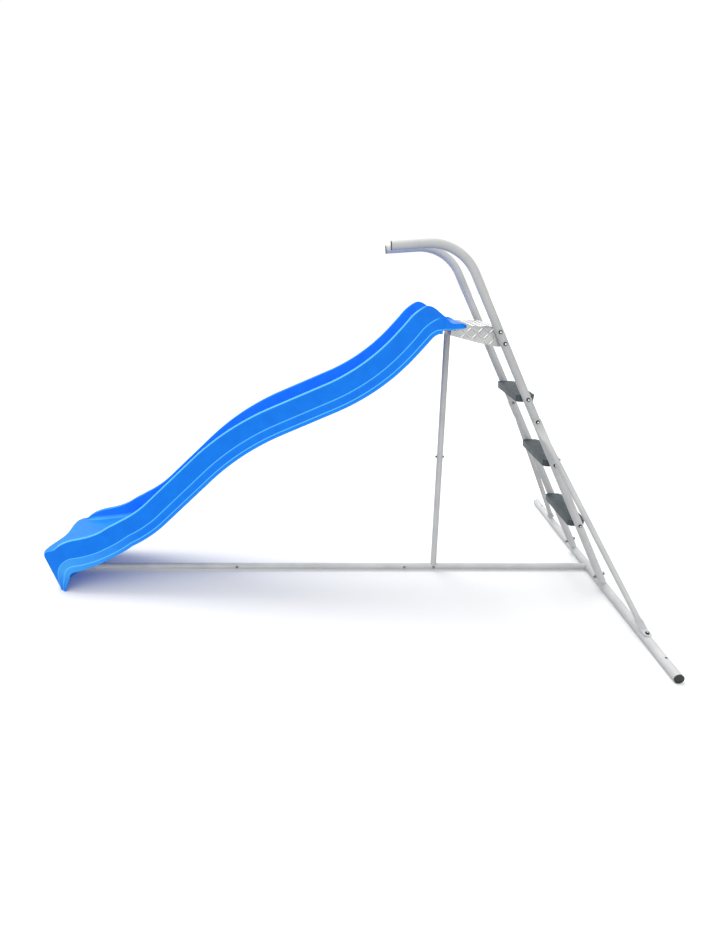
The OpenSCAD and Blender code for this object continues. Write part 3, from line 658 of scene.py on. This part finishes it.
def hex_bolt(bm, painted_highlight, painted_shade, seat, shank):
    """An M8 bolt: the washer lies on the seat and the head stands along its +Z."""
    earlier = set(bm.verts)
    # painted shade on the washer and on the head, darkest at its foot; a painted highlight on the
    # head's centre
    for vertex in turned_part(bm, washer_r, 0, washer_top, 28, 0.0003):
        vertex[painted_shade] = 0.85
    head = turned_part(bm, head_r, washer_top, head_top, 6, 0.0009)
    for vertex in head:
        vertex[painted_shade] = 0.75 if vertex.co.z > 0.005 else 1.0
    crown = max((f for v in head for f in v.link_faces), key=lambda f: f.calc_center_median().z)
    bmesh.ops.inset_region(bm, faces=[crown], thickness=0.0028, depth=0)
    bmesh.ops.inset_region(bm, faces=[crown], thickness=0.0004, depth=0.0003)
    for vertex in crown.verts:
        vertex[painted_shade], vertex[painted_highlight] = 0.0, 0.8
    turned_part(bm, shank_r, -shank, 0.0, 16)
    bmesh.ops.transform(bm, matrix=seat, verts=[v for v in bm.verts if v not in earlier])


def rail_seat(height, side, out):
    """A bolt's seat on the outer side of a rail."""
    return Matrix.Translation((axis_x - (height - bar_r) * tan(lean), side * out, height)) \
        @ Matrix.Rotation(-side * pi / 2, 4, "X")


outer = rail_y + rail_r
tread_heights = [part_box(name)[1].z - 0.012 for name in treads]
# each group's bolts, as (seat, length of shank)
groups = {
    "step_bolts": [(rail_seat(z, s, outer), 0.055) for z in tread_heights for s in (-1, 1)],
    "platform_bolts": [(rail_seat(deck - d, s, outer), 0.049) for d in (0.064, 0.018)
                       for s in (-1, 1)],
    "brace_top_bolts": [(rail_seat(brace_height, s, outer + tab), 0.051) for s in (-1, 1)],
    "brace_foot_bolts": [(Matrix.Translation((axis_x, s * brace_foot, 2 * bar_r + tab)), 0.040)
                         for s in (-1, 1)]}
for name, bolts in groups.items():
    bm = bmesh.new()
    painted_highlight, painted_shade = tone_layers(bm)
    for seat, shank in bolts:
        hex_bolt(bm, painted_highlight, painted_shade, seat, shank)
    settle(bm, name + "_set", zinc, "zinc", name, crease=30)

# ---- Studio ----------------------------------------------------------------------------
# A pale floor that gives the slide no bounce, under a large soft sun from the upper left, a
# little behind. The surround is brighter from the viewer's side, and dimmer from the
# ladder's side and from below.
bm = bmesh.new()
bmesh.ops.create_grid(bm, x_segments=1, y_segments=1, size=40.0)
mesh = bpy.data.meshes.new("floor")
bm.to_mesh(mesh)
bm.free()
floor_pale, tree, place, shader = finish("pale_studio_floor", {
    "Base Color": linear("EEEEEE"), "Roughness": 0.9, "Specular IOR Level": 0.0})
mesh.materials.append(floor_pale)
floor = bpy.data.objects.new("floor", mesh)
bpy.context.scene.collection.objects.link(floor)
floor.visible_diffuse = False

world = bpy.data.worlds.new("studio")
bpy.context.scene.world = world
world.use_nodes = True
tree = world.node_tree
way = node(tree, "ShaderNodeSeparateXYZ",
           links={"Vector": node(tree, "ShaderNodeTexCoord").outputs["Generated"]})
strength = None
# along each axis, the surround's strength goes from first to last between start and end
for axis, start, end, first, last in (("X", 0.6, 1.0, 1.0, 0.5), ("Y", -0.7, -0.1, 1.36, 1.03),
                                      ("Z", -0.14, -0.05, 0.5, 1.0)):
    part = node(tree, "ShaderNodeMapRange", values={
        "From Min": start, "From Max": end, "To Min": first, "To Max": last},
        links={"Value": way.outputs[axis]}).outputs["Result"]
    strength = part if strength is None else node(
        tree, "ShaderNodeMath", {"operation": "MULTIPLY"},
        links={0: strength, 1: part}).outputs["Value"]
tree.links.new(strength, tree.nodes["Background"].inputs["Strength"])
tree.nodes["Background"].inputs["Color"].default_value = (1, 1, 1, 1)

key = bpy.data.lights.new("key", "SUN")
key.energy, key.angle = 1.8, radians(36)
key_thing = bpy.data.objects.new("key", key)
bpy.context.scene.collection.objects.link(key_thing)
key_thing.rotation_euler = Vector((0.36, -0.30, -0.88)).to_track_quat("-Z", "Y").to_euler()

# the camera's turns in radians, its place in metres and its lens in millimetres
pitch_down, yaw, roll_right = 0.33785, 0.016138, -0.009388
stand, focal = (axis_x - 1.200, -2.408, 1.408), 21.042
forward = Vector((sin(yaw) * cos(pitch_down), cos(yaw) * cos(pitch_down), -sin(pitch_down)))
right = Vector((cos(yaw), -sin(yaw), 0))
below = forward.cross(right)
right, below = (cos(roll_right) * right + sin(roll_right) * below,
                cos(roll_right) * below - sin(roll_right) * right)
camera_data = bpy.data.cameras.new("camera")
camera_data.lens = focal
camera = bpy.data.objects.new("camera", camera_data)
camera.matrix_world = (Matrix.Translation(stand)
                       @ Matrix((right, -below, -forward)).transposed().to_4x4())
bpy.context.scene.collection.objects.link(camera)
bpy.context.scene.camera = camera
bpy.context.scene.view_settings.view_transform = "Standard"
